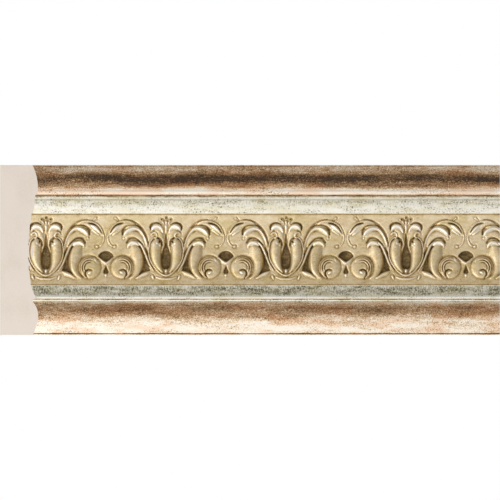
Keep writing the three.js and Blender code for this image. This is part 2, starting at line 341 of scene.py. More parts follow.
class Carver:
    """Carves cuts into maps of half a repeat: its height in millimetres, and its tone, which is glazing
    together with painted shade in grooves and flutes and painted highlights on strokes.

    The cuts lie on a lattice with two units to a millimetre.
    """

    across = 60.0
    tall = 69.0
    per_unit = 6
    boldness = 1.35
    thin_height = 0.5
    thinnest = 0.05
    halo_reaches = 3
    halo_power = 8
    pit_lip = 0.2
    softening = 1.4
    edge_fade = 1.5

    def __init__(self) -> None:
        """Starts with the flat ground."""
        u = np.arange(int(self.across * self.per_unit) + 1) / self.per_unit
        v = np.arange(int(self.tall * self.per_unit) + 1) / self.per_unit
        self.u, self.v = np.meshgrid(u, v)
        self.height = np.zeros(self.u.shape)
        self.glaze = np.zeros(self.u.shape)

    def _window(self, path: np.ndarray, margin: float) -> tuple[slice, slice]:
        """The part of the map that lies within a margin of a path."""
        lows = np.floor((path[:, :2].min(axis=0) - margin) * self.per_unit).astype(int)
        highs = np.ceil((path[:, :2].max(axis=0) + margin) * self.per_unit).astype(int) + 1
        (left, low), (right, high) = np.maximum(lows, 0), np.maximum(highs, 1)
        return slice(low, high), slice(left, right)

    def _nearest(self, window: tuple[slice, slice], path: np.ndarray) -> tuple[np.ndarray, np.ndarray]:
        """Measures from the samples to a path.

        Args:
            window: The part of the map to measure.
            path: The path's points, with its half width at each.

        Returns:
            Each sample's distance, above zero to the path's left, and the half width there.
        """
        u, v = self.u[window], self.v[window]
        best = np.full(u.shape, np.inf)
        side = np.ones(u.shape)
        width = np.full(u.shape, path[0, 2])
        for a, b in zip(path, path[1:], strict=False):
            t, off_u, off_v = beside(u, v, a, b)
            square = off_u ** 2 + off_v ** 2
            nearer = square < best
            best = np.where(nearer, square, best)
            side = np.where(nearer, np.sign((b[0] - a[0]) * off_v - (b[1] - a[1]) * off_u), side)
            width = np.where(nearer, a[2] + t * (b[2] - a[2]), width)
        return np.sqrt(best) * side, np.maximum(width, self.thinnest)

    def raise_stroke(self, stroke: Stroke) -> None:
        """Raises a domed strip with a shadow line round it, and paints a highlight on its top.

        Args:
            stroke: The strip.
        """
        path = curve_through(stroke.spine)
        widest = max(p[2] for p in stroke.spine)
        window = self._window(path, widest + self.halo_reaches * stroke.reach)
        distance, width = self._nearest(window, path)
        s = distance / width
        x = np.where(s > stroke.crest, (s - stroke.crest) / (1 - stroke.crest),
                     (stroke.crest - s) / (1 + stroke.crest))
        halo = self.boldness * stroke.halo
        thickness = self.thin_height + (1 - self.thin_height) * width / widest
        top = self.boldness * stroke.high * thickness
        dome = top * np.clip(1 - np.clip(x, 0, 1) ** stroke.power, 0, 1) ** stroke.edge
        outside = np.maximum(np.abs(distance) - width, 0)
        sunk = self.height[window] - halo * np.exp(-(outside / stroke.reach) ** 2)
        raised = np.maximum(dome - halo * np.clip(np.abs(s), 0, 1) ** self.halo_power, sunk)
        self.height[window] = np.where(np.abs(s) < 1, raised, sunk)
        # Paints a highlight on the strip's top: its tone is set lighter there, over what lay beneath.
        highlight = -stroke.rub * np.sqrt(np.clip(1 - x ** 2, 0, 1))
        self.glaze[window] = np.where(np.abs(s) < 1, highlight, self.glaze[window])

    def cut_groove(self, groove: Groove) -> None:
        """Cuts a round-bottomed groove.

        Args:
            groove: The groove.
        """
        path = curve_through(groove.spine)
        window = self._window(path, max(p[2] for p in groove.spine) + 1)
        distance, width = self._nearest(window, path)
        x = np.clip(np.abs(distance) / width, 0, 1)
        share = (1 - x * x) ** 2
        self.height[window] -= self.boldness * groove.deep * share
        # Lays the groove's tone along it: partly glazing, partly painted shade.
        self.glaze[window] += (groove.glaze - self.glaze[window]) * np.sqrt(share)

    def sink_pit(self, pit: Pit) -> None:
        """Sinks a pocket with steep walls.

        Args:
            pit: The pocket.
        """
        outline = curve_through(pit.outline, steps=6, closed=True)
        window = self._window(outline, 1)
        u, v = self.u[window], self.v[window]
        inside = np.zeros(u.shape, bool)
        nearest = np.full(u.shape, np.inf)
        for a, b in zip(outline, np.roll(outline, -1, axis=0), strict=True):
            if abs(b[1] - a[1]) > TINY:
                level = a[0] + (v - a[1]) / (b[1] - a[1]) * (b[0] - a[0])
                inside ^= ((a[1] > v) != (b[1] > v)) & (u < level)
            nearest = np.minimum(nearest, np.hypot(*beside(u, v, a, b)[1:]))
        share = smooth(-self.pit_lip, pit.wall, np.where(inside, nearest, -nearest))
        self.height[window] = self.height[window] * (1 - share) - pit.deep * share
        self.glaze[window] *= 1 - share

    def turn_volute(self, volute: Volute) -> None:
        """Raises the scroll's round end, sinks a shadow round it and cuts its flutes.

        Args:
            volute: The round end.
        """
        r = np.hypot(self.u - volute.across, self.v - volute.up)
        turn = np.degrees(np.arctan2(self.v - volute.up, self.u - volute.across)) % 360
        near = 0.5 + 0.5 * np.cos(np.radians(turn - volute.near_degrees))
        dome = np.sqrt(np.clip(1 - (r / volute.radius) ** volute.power, 0, 1))
        disc = self.boldness * volute.high * dome
        off_lip = (r - volute.lip_at * volute.radius) / volute.lip_width
        disc += self.boldness * volute.lip * near * np.exp(-off_lip ** 2)
        shadow = self.boldness * volute.shadow * (volute.far_shadow + (1 - volute.far_shadow) * near)
        reach = volute.reach + volute.near_reach * near ** 2
        self.height -= shadow * np.exp(-(np.maximum(r - volute.radius, 0) / reach) ** 2)
        self.height = np.where(r < volute.radius, np.maximum(disc, self.height), self.height)
        self.glaze = np.where(r < volute.radius, 0, self.glaze)
        start, end, fade = volute.from_degrees, volute.to_degrees, volute.fade_degrees
        share = smooth(start - fade, start + fade, turn) * (1 - smooth(end - fade, end, turn))
        share *= smooth(volute.inner, volute.inner + 1, r) * (r < volute.radius)
        wave = np.cos(2 * np.pi * (r - volute.radius) / volute.pitch)
        self.height += self.boldness * volute.flute * wave * share
        # Paints the flutes' troughs darker: partly glazing, partly painted shade.
        self.glaze += volute.glaze * np.clip(-wave, 0, 1) * share

    def carve(self, cuts: tuple[Cut, ...]) -> None:
        """Makes some cuts, later ones over earlier ones."""
        work = {Stroke: self.raise_stroke, Groove: self.cut_groove, Pit: self.sink_pit,
                Volute: self.turn_volute}
        for cut in cuts:
            work[type(cut)](cut)

    def soften(self) -> None:
        """Softens the finished maps a little, and levels the height at the frieze's edges."""
        above = smooth(self.tall - self.edge_fade, self.tall, self.v)
        edge = smooth(0, self.edge_fade, self.v) * (1 - above)
        self.height = blurred(self.height, self.softening) * edge
        self.glaze = blurred(self.glaze, self.softening)


@dataclass
class Ornament:
    """The carving of half a repeat, from a tulip's middle line to the middle between two tulips.

    The groups and their cuts are listed in the order in which they are carved.
    """

    outer_leaf: tuple[Cut, ...] = (
        Groove(((17.8, 33, .6), (18.6, 38.7, 1.8), (20, 45.3, 2.5), (22, 50.4, 2.6), (24.8, 55, 2.5),
                (28.4, 59, 2.2), (32.4, 61.8, 1.7), (37, 63.6, 1.2), (42, 64.2, .5)), .75, -.06),
        Stroke(((18.8, 33, .7), (20.4, 41, 1.1), (23.3, 48.8, 1.6), (28.8, 55.3, 2), (36, 58.9, 3),
                (43.5, 58.6, 3.8), (50, 55.6, 4.2), (55, 51.6, 2.6), (57.6, 48.2, .6)),
               .7, .35, .15, power=3, edge=.8),
        Stroke(((31, 60.4, .4), (37, 62.6, .8), (43.5, 62.6, .9), (49.6, 60.6, .8), (54, 57, .6),
                (56.8, 51, .5)), .8, .2, .15, .7),
        Groove(((42.2, 61, .4), (47.4, 59.6, 1.6), (51.8, 56.2, 1.6), (55.6, 51.6, .4)), 1.1, .45),
        Stroke(((44.6, 59.2, .5), (48.4, 57, 1.6), (52, 53.6, 1.6), (55.4, 49.6, .5)),
               1, .1, .1, .7, rub=.5),
        Stroke(((46, 53.8, .5), (49.6, 51.6, .9), (53.4, 49, .4)), .6, -.2, .25, .8, rub=.3),
    )
    middle_leaf: tuple[Cut, ...] = (
        Stroke(((21.6, 37.5, .9), (25, 44.4, 2.6), (30.2, 48.9, 3.6), (36, 49.8, 3.6),
                (40.6, 47.6, 2.4)), .5, .1, .1, power=3, edge=.9),
        Groove(((24.4, 56, .3), (29.1, 58.2, .7), (35.2, 58.9, 1), (40.2, 57.3, 1.3), (43, 54, 1.6),
                (43.6, 49.5, .9)), .75, .3),
        Stroke(((19.4, 40, .45), (21.6, 46.8, .7), (24.8, 51.8, 1), (28.4, 54.6, 1.6), (32.8, 55.2, 2.1),
                (37, 53.6, 2.4), (40.2, 50.8, 2), (42, 48, .7)), 1.15, .55, .25, .9, rub=.5),
        Stroke(((41.8, 46.2, .9), (42.2, 45.6, .9)), .6, 0, .3, .8, rub=.3),
    )
    inner_leaf: tuple[Cut, ...] = (
        Stroke(((33.4, 39, 2.6), (31, 34.6, 6), (29, 29, 7.8), (28.2, 22, 7.8), (29.6, 14.6, 6.2),
                (32, 8.8, 3), (35.6, 5.8, .7)), 1.1, -.16, 0, power=2.6, edge=1.3),
        Groove(((29, 39, .6), (25.2, 36.6, 2), (22.2, 32, 4), (20.4, 26, 5.4), (20.4, 20, 5.4),
                (22.2, 13.6, 4.2), (26.4, 8.4, 1.2)), 1.35, .14),
        Groove(((22.8, 38.4, .4), (27.5, 43.8, .7), (32.3, 46, 1), (36.5, 45, 1.3), (39.4, 41.2, 1)),
               .65, .25),
        Stroke(((12.4, 13.2, .5), (16.4, 19.2, 1), (19, 25.4, 1.2), (21.4, 31.5, 1.3), (24.2, 37.4, 1.3),
                (28, 41.4, 1), (32, 42.9, .6)), 1.1, .2, .3, .8, rub=.12),
        Stroke(((27.4, 38.4, .8), (30.4, 40.6, 2), (34.2, 41, 2.4), (37.2, 38.8, 1.6), (38, 36.4, .5)),
               1.2, .5, .3, .8, rub=.42),
    )
    volute: tuple[Cut, ...] = (
        Volute(),
        Groove(((41.6, 5.8, .6), (39.6, 9, 1.3), (39.8, 12.4, 1.4), (42.6, 14.4, 1.3),
                (46, 13.8, .6)), .9, .3),
        Stroke(((43.4, 11.2, 1.2), (45, 12, 1.3)), 1.3, 0, .25, .8, rub=.4),
        Stroke(((47.7, 26.4, .4), (49.6, 24, .7), (50.9, 21.4, .4)), .95, 0, .15, .6, rub=.15),
    )
    tendril: tuple[Cut, ...] = (
        Stroke(((57.2, 51, .4), (58, 47.4, .6), (57.6, 43, .7), (55.6, 39.4, .7), (52.6, 37.4, .5)),
               .5, 0, .25, .8),
        Stroke(((50.8, 37.6, 1.2), (51.6, 37.4, 1.2)), .6, 0, .5, .8, rub=.15),
        Stroke(((47.6, 63.6, .4), (49, 64.8, .5), (50, 65.8, .9), (50.4, 66, .9)), .5, 0, .4, .8),
    )
    petal: tuple[Cut, ...] = (
        Stroke(((2.8, 40, .8), (4, 43.6, 2.2), (6, 47.4, 4), (7, 51.4, 4.8), (7.6, 54, 4.2)), .5, 0,
               .2, power=4, edge=.8),
        Groove(((4.4, 59.4, .3), (8.6, 61.2, .6), (13, 60.6, 1), (15.5, 57.6, 1.4), (15, 54, .8)),
               .75, .3),
        Stroke(((3, 51.4, .5), (4.2, 54.4, 1.3), (6.8, 56.8, 2.4), (10, 57.2, 2.9), (12.8, 55.6, 2.3),
                (14.2, 53.4, .8)), 1.2, .5, .3, .9, rub=.55),
    )
    lobe: tuple[Cut, ...] = (
        Stroke(((9.6, 44.6, 2), (9.8, 41.4, 4.9), (10.4, 36, 5.5), (10.6, 30, 5.6), (9.8, 23.6, 4.8),
                (7.6, 17.4, 3.2), (3.8, 11.8, 1)), 1.85, .04, .45, .9),
        Groove(((4, 38.4, .5), (4.2, 42.4, 1), (6.8, 45.4, 1.1), (10.4, 46, .5)), .6, .3),
        Groove(((6.2, 42.8, .9), (6.6, 42.2, 1.5), (7, 41.4, .9)), 1.1, .45),
        Stroke(((8.6, 40.4, 1.2), (9.2, 41, 1.2)), 1.8, 0, .15, .7, rub=.4),
        Stroke(((6, 38.6, .9), (6.4, 39, .9)), 1.6, 0, .15, .7, rub=.4),
    )
    sepal: tuple[Cut, ...] = (
        Stroke(((14.6, 49.2, .5), (13.2, 51, .8), (10.6, 51.2, .9), (9, 49, .8), (9.4, 46.8, .7),
                (12.8, 45.8, .6), (15.6, 42.4, .7), (17, 37, .7), (17.2, 31, .8), (16.2, 25, .8),
                (13.2, 19, .8), (8.8, 13.4, .8), (4, 9.6, .9), (0, 8.2, 1)), 1, 0, .3, .9, rub=.12),
        Stroke(((17.4, 31, .7), (18.3, 35, .7), (18.9, 40, .6), (20.6, 46, .5)), .6, 0, .15, .7),
    )
    root: tuple[Cut, ...] = (
        Stroke(((0, 5, .8), (5.5, 5.4, .8), (10.6, 7.4, .5)), .65, 0, .25, .8, rub=.2),
        Stroke(((12.4, 5, .6), (13.6, 7.6, 1.2), (13.8, 9.4, .5)), .75, .3, .4, .9, rub=.25),
        Stroke(((16.4, 12.4, .7), (19.4, 10.6, 2.1), (23.6, 9, 2), (27.4, 6.8, 1.2), (30, 5.6, .4)), .65,
               .3, .25, .9, edge=.7, rub=.1),
    )
    crown: tuple[Cut, ...] = (
        Stroke(((0, 50, .5), (0, 54, 1), (0, 58.4, 2)), .55, 0, .35, .8, rub=.1),
        Stroke(((0, 60.4, .9), (0, 62.4, 1.2)), .9, 0, .3, .8, rub=.55),
        Stroke(((2.2, 59.6, .5), (3.2, 61.8, 1.2)), .9, 0, .3, .8, rub=.55),
        Stroke(((0, 65.5, 1.7), (0, 65.8, 1.7)), .7, 0, .3, .8),
        Stroke(((4.3, 64.1, 1.6), (4.6, 64.4, 1.6)), .7, 0, .3, .8),
        Groove(((0, 65.7, 1.3), (0, 66, 1.3)), .8, .8),
        Groove(((4.3, 64.3, 1.2), (4.6, 64.5, 1.2)), .8, .8),
        Groove(((0, 51, .4), (0, 46, 1.3), (0, 38, 2)), .9, .35),
    )
    pits: tuple[Cut, ...] = (
        Pit(((0, 41), (1.9, 37.6), (3.6, 33), (4.6, 27), (4.5, 20.5), (3, 15.6), (0, 14), (-3, 15.6),
             (-4.5, 20.5), (-4.6, 27), (-3.6, 33), (-1.9, 37.6))),
        Pit(((60, 33), (56.4, 32.2), (53.6, 30), (52.4, 27.6), (55.4, 24.9), (60, 22.2), (64.6, 24.9),
             (67.6, 27.6), (66.4, 30), (63.6, 32.2))),
        Pit(((21.2, 29.5), (22, 25), (22, 19.6), (21.4, 15.2), (19.4, 13.4), (15.8, 13.4), (17.8, 17.5),
             (19.7, 22.5)), 2.1, .7),
        Pit(((60, 19), (58.8, 15.6), (57.4, 12.4), (58.2, 10.6), (60, 10.2), (61.8, 10.6), (62.6, 12.4),
             (61.2, 15.6)), 2.2, .8),
    )
    seeds: tuple[Cut, ...] = (
        Stroke(((0, 12.6, 1.5), (0, 13.6, 1.7)), .8, 0, .2, .7, rub=.45),
        Stroke(((60, 9.4, 1.1), (60, 8.8, 1.1)), .6, 0, .25, .7, rub=.35),
        Stroke(((53, 26, .4), (56.4, 22.8, 1.2), (60, 20.4, 1.3)), .55, .2, .1, .6, edge=.8, rub=.12),
    )

    def carved(self) -> Carver:
        """Carves every group in order.

        Returns:
            The carver, with its finished maps.
        """
        carver = Carver()
        for group in vars(self).values():
            carver.carve(group)
        carver.soften()
        return carver


@dataclass
class Relief:
    """The carving on the tile's own grid: its lift in millimetres, and its tone.

    The tone is painted darker in hollows and pits, partly glazing settled there and partly painted
    shade, and lighter on crests, partly glazing worn off and partly a painted highlight. What lies lower
    or higher than the places nearby is a hollow or a crest.
    """

    lift: np.ndarray
    shade: np.ndarray

    nearby = 8
    deepest_shaded = 0.7
    hollow = (0.04, 0.6)
    hollow_tone = 0.3
    crest = (0.02, 0.45)
    crest_tone = 0.1
    pit = (0.9, 2.0)
    pit_tone = 0.75

    @classmethod
    def sampled(cls, carver: Carver, columns: int, tones: np.ndarray) -> "Relief":
        """Reads a carver's maps on a grid of rows from the frieze's top down.

        Args:
            carver: The finished carving.
            columns: Cells across the half repeat.
            tones: The ground's tone at each row.

        Returns:
            The relief.
        """
        height = np.maximum(carver.height, -cls.deepest_shaded)
        rise = height - blurred(height, cls.nearby)
        # Painted shade in hollows and a painted highlight on crests, on top of the carved tone.
        glaze = (carver.glaze + cls.hollow_tone * smooth(*cls.hollow, -rise)
                 - cls.crest_tone * smooth(*cls.crest, rise))
        # Pits are painted dark: partly glazing settled in them, partly painted shade.
        pit = smooth(*cls.pit, -carver.height)
        u = np.linspace(0, height.shape[1] - 1, columns + 1)
        v = np.linspace(height.shape[0] - 1, 0, len(tones))
        lift, glaze, pit = (cls._read(m, u, v) for m in (carver.height, glaze, pit))
        shade = tones[:, None] + glaze
        return cls(lift, np.clip(shade * (1 - pit) + cls.pit_tone * pit, 0, 1))

    @staticmethod
    def _read(whole: np.ndarray, u: np.ndarray, v: np.ndarray) -> np.ndarray:
        """Reads a map at some columns and rows, and between them."""
        lines = np.array([np.interp(u, np.arange(whole.shape[1]), line) for line in whole])
        return np.stack([np.interp(v, np.arange(whole.shape[0]), column) for column in lines.T], axis=1)


@dataclass
class Tile:
    """Half a repeat of the whole moulding, as a tube round the section that is open at both ends."""

    section: Section
    length: float
    columns: int = 100
    points: list[Point] = field(default_factory=list)
    shades: list[float] = field(default_factory=list)
    faces: list[tuple[int, ...]] = field(default_factory=list)
    members: list[int] = field(default_factory=list)
    leaves: list[int] = field(default_factory=list)

    def _add_row(self, row: Row, xs: np.ndarray, lifts: np.ndarray, shades: np.ndarray) -> list[int]:
        """Adds a row of points.

        Args:
            row: The section's line that they lie on.
            xs: Where along the tile each one lies.
            lifts: How far each one stands out of that line.
            shades: Their tones.

        Returns:
            The points' numbers.
        """
        first = len(self.points)
        self.points += [(x, -(row.depth + lift), row.z) for x, lift in zip(xs, lifts, strict=True)]
        self.shades += list(shades)
        return list(range(first, len(self.points)))

    def _join(self, upper: list[int], lower: list[int], row: Row) -> None:
        """Adds the faces between two rows: a strip of cells, or one face where their counts differ.

        Args:
            upper: The upper row's points.
            lower: The lower row's points.
            row: The lower row's line in the section.
        """
        if len(upper) == len(lower):
            cells = [(lower[i], lower[i + 1], upper[i + 1], upper[i]) for i in range(len(upper) - 1)]
        else:
            cells = [(*lower, *reversed(upper))]
        self.faces += cells
        self.members += [row.member] * len(cells)
        self.leaves += [row.leaf.value] * len(cells)

    def mesh(self, carver: Carver) -> bpy.types.Mesh:
        """Builds the tile's mesh.

        Args:
            carver: The finished carving.

        Returns:
            The mesh in metres, with the tone on its points, and the member and leaf on its faces.
        """
        frieze = self.section.frieze
        rows = self.section.rows()
        carved = [i for i, r in enumerate(rows) if r.member == self.section.members.index(frieze)]
        carved.insert(0, carved[0] - 1)
        tones = np.array([frieze.tone(i / (len(carved) - 1)) for i in range(len(carved))])
        relief = Relief.sampled(carver, self.columns, tones)
        ends, across = np.array([0.0, self.length]), np.linspace(0, self.length, self.columns + 1)
        lines = []
        for i, row in enumerate(rows):
            if i in carved:
                at = i - carved[0]
                lines.append(self._add_row(row, across, relief.lift[at], relief.shade[at]))
            else:
                lines.append(self._add_row(row, ends, np.zeros(2), np.full(2, row.tone)))
        for above, below, row in zip(lines, lines[1:], rows[1:], strict=False):
            self._join(above, below, row)
        self._join(lines[-1], lines[0], rows[0])
        mesh = bpy.data.meshes.new("tile")
        mesh.from_pydata((np.array(self.points) * MM).tolist(), [], self.faces)
        for name, kind, domain, values in (("shade", "FLOAT", "POINT", self.shades),
                                           ("member", "INT", "FACE", self.members),
                                           ("leaf", "INT", "FACE", self.leaves)):
            mesh.attributes.new(name, kind, domain).data.foreach_set("value", values)
        return mesh


class Value:
    """A number that a node tree works out, with Python's operators as Math nodes."""

    def __init__(self, tree: "Tree", socket: bpy.types.NodeSocket) -> None:
        """Wraps a node's output."""
        self.tree = tree
        self.socket = socket

    def _math(self, operation: str, *terms: "Value | float") -> "Value":
        """Adds a Math node on some terms."""
        node = self.tree.add("ShaderNodeMath", dict(enumerate(terms)), operation=operation)
        return Value(self.tree, node.outputs[0])

    def __add__(self, other: "Value | float") -> "Value":
        """The sum."""
        return self._math("ADD", self, other)

    __radd__ = __add__

    def __sub__(self, other: "Value | float") -> "Value":
        """The difference."""
        return self._math("SUBTRACT", self, other)

    def __rsub__(self, other: "Value | float") -> "Value":
        """The difference, with this value taken away."""
        return self._math("SUBTRACT", other, self)

    def __mul__(self, other: "Value | float") -> "Value":
        """The product."""
        return self._math("MULTIPLY", self, other)

    def clamped(self) -> "Value":
        """The value kept between 0 and 1."""
        return Value(self.tree, self.tree.add("ShaderNodeClamp", {"Value": self}).outputs[0])

    def step(self, low: float, high: float) -> "Value":
        """A soft step from 0 at low to 1 at high."""
        node = self.tree.add("ShaderNodeMapRange", {"Value": self, "From Min": low, "From Max": high},
                             interpolation_type="SMOOTHSTEP")
        return Value(self.tree, node.outputs[0])


class Tree:
    """Adds nodes to a node tree."""

    def __init__(self, nodes: bpy.types.NodeTree) -> None:
        """Takes the tree and empties it."""
        self.nodes = nodes
        nodes.nodes.clear()

    def add(self, kind: str, sockets: dict[object, object] | None = None,
            **settings: object) -> bpy.types.Node:
        """Adds one node.

        Args:
            kind: The node's type.
            sockets: What goes into its inputs, by name, identifier or number: a value or a link.
            settings: Its settings, set first. The stops of a colour ramp go in as "stops".

        Returns:
            The node.
        """
        node = self.nodes.nodes.new(kind)
        for name, value in settings.items():
            if name == "stops":
                self._set_stops(node.color_ramp, value)
            else:
                setattr(node, name, value)
        for key, value in (sockets or {}).items():
            socket = self._socket(node, key)
            link = value.socket if isinstance(value, Value) else value
            if isinstance(link, bpy.types.NodeSocket):
                self.nodes.links.new(link, socket)
            else:
                socket.default_value = link
        return node

    @staticmethod
    def _socket(node: bpy.types.Node, key: object) -> bpy.types.NodeSocket:
        """Finds an input by number, identifier or name."""
        if isinstance(key, int):
            return node.inputs[key]
        exact = [s for s in node.inputs if s.identifier == key]
        return (exact or [s for s in node.inputs if s.name == key])[0]

    @staticmethod
    def _set_stops(ramp: bpy.types.ColorRamp, stops: tuple[tuple[float, Colour], ...]) -> None:
        """Gives a colour ramp its stops.

        Args:
            ramp: The ramp.
            stops: Each stop's position and colour.
        """
        while len(ramp.elements) > 1:
            ramp.elements.remove(ramp.elements[-1])
        for place, (position, colour) in enumerate(stops):
            element = ramp.elements[0] if place == 0 else ramp.elements.new(position)
            element.position = position
            element.color = colour


class Surface(Tree):
    """The node tree of a new material."""

    def __init__(self, name: str) -> None:
        """Makes the material."""
        self.material = bpy.data.materials.new(name)
        self.material.use_nodes = True
        super().__init__(self.material.node_tree)

    def ramp(self, stops: tuple[tuple[float, str], ...], tone: Value) -> bpy.types.NodeSocket:
        """A colour from a ramp of colours in hex digits, at a tone."""
        colours = tuple((position, paint(colour)) for position, colour in stops)
        return self.add("ShaderNodeValToRGB", {"Fac": tone}, stops=colours).outputs[0]

    def bumped(self, height: Value, depth: float) -> bpy.types.NodeSocket:
        """The normal of a surface that is bumped to a depth in millimetres."""
        sockets = {"Height": height, "Strength": 1.0, "Distance": depth * MM}
        return self.add("ShaderNodeBump", sockets).outputs[0]

    def finished(self, sockets: dict[str, object]) -> bpy.types.Material:
        """The material, with a shader on what goes into its sockets."""
        shader = self.add("ShaderNodeBsdfPrincipled", sockets)
        self.add("ShaderNodeOutputMaterial", {"Surface": shader.outputs[0]})
        return self.material


@dataclass(frozen=True)
class Grain:
    """A noise over the surface, with its features' size along and up the moulding in mm.

    The share is how much it counts for in a tone.
    """

    along: float
    up: float
    detail: float
    roughness: float
    shift: float = 0.0
    share: float = 0.0

    def on(self, tree: Tree) -> Value:
        """Adds the noise to a tree.

        Args:
            tree: The tree.

        Returns:
            The noise's value, about 0.5 in the middle.
        """
        place = tree.add("ShaderNodeTexCoord").outputs["Object"]
        scale = (1 / (self.along * MM), 1 / (self.up * MM), 1 / (self.up * MM))
        moved = tree.add("ShaderNodeVectorMath", {0: place, 1: scale, 2: (self.shift,) * 3},
                         operation="MULTIPLY_ADD")
        noise = tree.add("ShaderNodeTexNoise", {"Vector": moved.outputs[0], "Scale": 1.0,
                                                "Detail": self.detail, "Roughness": self.roughness})
        return Value(tree, noise.outputs[0])


@dataclass(frozen=True)
class LeafFinish:
    """A metal leaf under a dark glazing, with painted shade and painted highlights in its tone: its
    colours from bare to dark, its grains and its gloss.
    """

    name: str
    stops: tuple[tuple[float, str], ...]
    tint: str
    tint_share: float
    smear: Grain
    speckle: Grain
    fleck: Grain
    fleck_from: float
    cluster: Grain
    worn: float
    glazed: float
    metal: float
    roughness: float
    bump: float = 0.05
    fleck_fade: float = 0.05
    patch: Grain = Grain(16, 5, 2.0, 0.5, 7.3)
    patch_fade: tuple[float, float] = (0.45, 0.65)
    cluster_fade: tuple[float, float] = (0.4, 0.62)
    glaze_sinks: float = 0.4
    glaze_hides_metal: float = 0.3
    glaze_roughens: float = 0.2
    speckle_roughens: float = 0.15

    def material(self) -> bpy.types.Material:
        """Builds the finish.

        Returns:
            The material.
        """
        tree = Surface(self.name)
        # The shade attribute holds glazing together with painted shade and painted highlights; here it
        # becomes the leaf's colour.
        shade = Value(tree, tree.add("ShaderNodeAttribute", attribute_name="shade").outputs["Fac"])
        smear, speckle, cloud = (grain.on(tree) for grain in (self.smear, self.speckle, self.cluster))
        fleck = self.fleck.on(tree).step(self.fleck_from, self.fleck_from + self.fleck_fade)
        glazed = shade * self.glazed + self.worn
        uneven = ((smear - 0.5) * self.smear.share + (speckle - 0.5) * self.speckle.share
                  + (cloud - 0.5) * self.cluster.share)
        flecked = cloud.step(*self.cluster_fade) * glazed * self.fleck.share
        tone = (shade + uneven * glazed + fleck * flecked).clamped()
        tinted = tree.add("ShaderNodeMix", {
            "Factor_Float": self.patch.on(tree).step(*self.patch_fade) * self.tint_share,
            "A_Color": tree.ramp(self.stops, tone), "B_Color": paint(self.tint)},
            data_type="RGBA", blend_type="MULTIPLY")
        dull = (speckle - 0.5) * self.speckle_roughens
        return tree.finished({
            "Base Color": tinted.outputs[2],
            "Metallic": (self.metal - tone * self.glaze_hides_metal).clamped(),
            "Roughness": (self.roughness + tone * self.glaze_roughens + dull).clamped(),
            "Normal": tree.bumped(speckle - tone * self.glaze_sinks, self.bump)})


BRONZE_LEAF = LeafFinish(
    name="bronze_leaf",
    stops=((0.0, "f8efe0"), (0.2, "e2c6a2"), (0.45, "b38c61"), (0.7, "866747"), (1.0, "473321")),
    tint="f6d6bc", tint_share=0.55,
    smear=Grain(4.5, 1.0, 5.0, 0.65, share=0.75),
    speckle=Grain(0.6, 0.45, 2.0, 0.6, 3.1, 1.25),
    fleck=Grain(0.8, 0.45, 2.0, 0.6, 11.7, 0.6), fleck_from=0.6,
    cluster=Grain(24, 4, 2.0, 0.5, 3.3, 0.6),
    worn=0.9, glazed=0.8, metal=0.65, roughness=0.48)
SILVER_LEAF = LeafFinish(
    name="silver_leaf",
    stops=((0.0, "f4f0e4"), (0.25, "dad4c0"), (0.5, "aea88a"), (0.75, "7a755a"), (1.0, "4a4430")),
    tint="f4efda", tint_share=0.7,
    smear=Grain(3, 1.2, 4.0, 0.6, 5.2, 0.8),
    speckle=Grain(0.4, 1.2, 2.0, 0.6, 1.9, 1.4),
    fleck=Grain(0.7, 0.55, 2.0, 0.6, 8.4, 1.3), fleck_from=0.58,
    cluster=Grain(9, 2.5, 2.0, 0.5, 6.1, 0.75),
    worn=0.45, glazed=2.1, metal=0.6, roughness=0.5)
GOLD_LEAF = LeafFinish(
    name="gold_leaf",
    stops=((0.0, "faf2e2"), (0.25, "e6d2ac"), (0.5, "c2a570"), (0.75, "7e673e"), (1.0, "4c3e24")),
    tint="f2f0d2", tint_share=0.5,
    smear=Grain(2.6, 1.4, 4.0, 0.6, 2.6, 0.45),
    speckle=Grain(0.5, 0.45, 2.0, 0.6, 6.5, 0.35),
    fleck=Grain(0.8, 0.7, 2.0, 0.6, 4.8, 0.3), fleck_from=0.64,
    cluster=Grain(8, 6, 2.0, 0.5, 8.9, 0.2),
    worn=0.55, glazed=1.4, metal=0.65, roughness=0.42)


@dataclass(frozen=True)
class PaleCore:
    """The bare foamed core: a pale dull plastic with a fine closed cell and faint clouds."""

    name: str
    stops: tuple[tuple[float, str], ...] = ((0.0, "d2c7bb"), (1.0, "c7bcae"))
    roughness: float = 0.7
    cell: Grain = Grain(0.8, 0.8, 2.0, 0.6, 9.4, 0.4)
    cloud: Grain = Grain(20, 20, 2.0, 0.5, 1.2, 0.6)
    fade: tuple[float, float] = (0.42, 0.75)
    bump: float = 0.03

    def material(self) -> bpy.types.Material:
        """Builds the finish.

        Returns:
            The material.
        """
        tree = Surface(self.name)
        cell = self.cell.on(tree)
        mottle = (cell * self.cell.share + self.cloud.on(tree) * self.cloud.share).step(*self.fade)
        return tree.finished({"Base Color": tree.ramp(self.stops, mottle), "Roughness": self.roughness,
                              "Normal": tree.bumped(cell, self.bump)})


